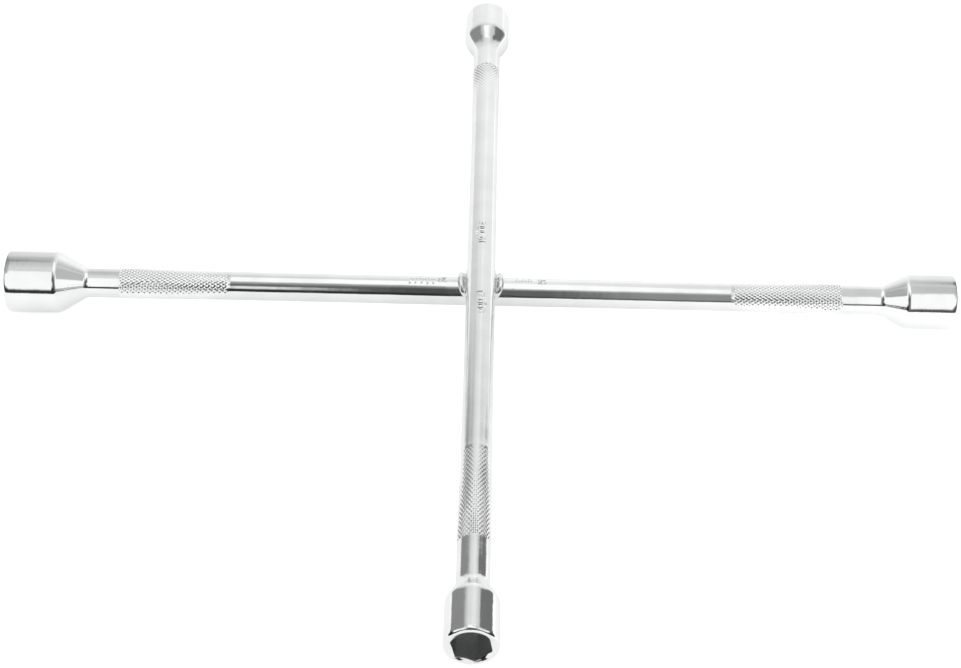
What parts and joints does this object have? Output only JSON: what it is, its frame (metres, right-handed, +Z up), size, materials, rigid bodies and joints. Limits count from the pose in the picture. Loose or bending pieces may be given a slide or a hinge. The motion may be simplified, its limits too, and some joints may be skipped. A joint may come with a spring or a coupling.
{
  "type": "lug wrench",
  "caption": "Cross-shaped lug wrench: crossed round steel bars with knurled grips, pressed together at the middle, and a hexagon socket at each end.",
  "frame": {"origin": "under the crossing of the two bars in plan, at the lowest point of the largest socket", "axes": "+X along the lower bar towards the 21 mm socket, +Y along the upper bar towards the 19 mm socket, +Z up, from the lower bar to the upper bar"},
  "size_m": [0.508, 0.508, 0.0402],
  "materials": {
    "bar_chrome": "bright chrome plate on drawn bar, knurled grips",
    "socket_chrome": "bright chrome plate on turned forging, duller inside the recess",
    "weld_chrome": "chrome plate over uneven weld flash"
  },
  "bodies": {
    "root": {"lower_bar": "bar_chrome", "upper_bar": "bar_chrome", "socket_21mm": "socket_chrome", "socket_19mm": "socket_chrome", "socket_23mm": "socket_chrome", "socket_17mm": "socket_chrome", "weld_flash_right": "weld_chrome", "weld_flash_left": "weld_chrome", "weld_flash_rear": "weld_chrome", "weld_flash_front": "weld_chrome"}
  },
  "joints": []
}
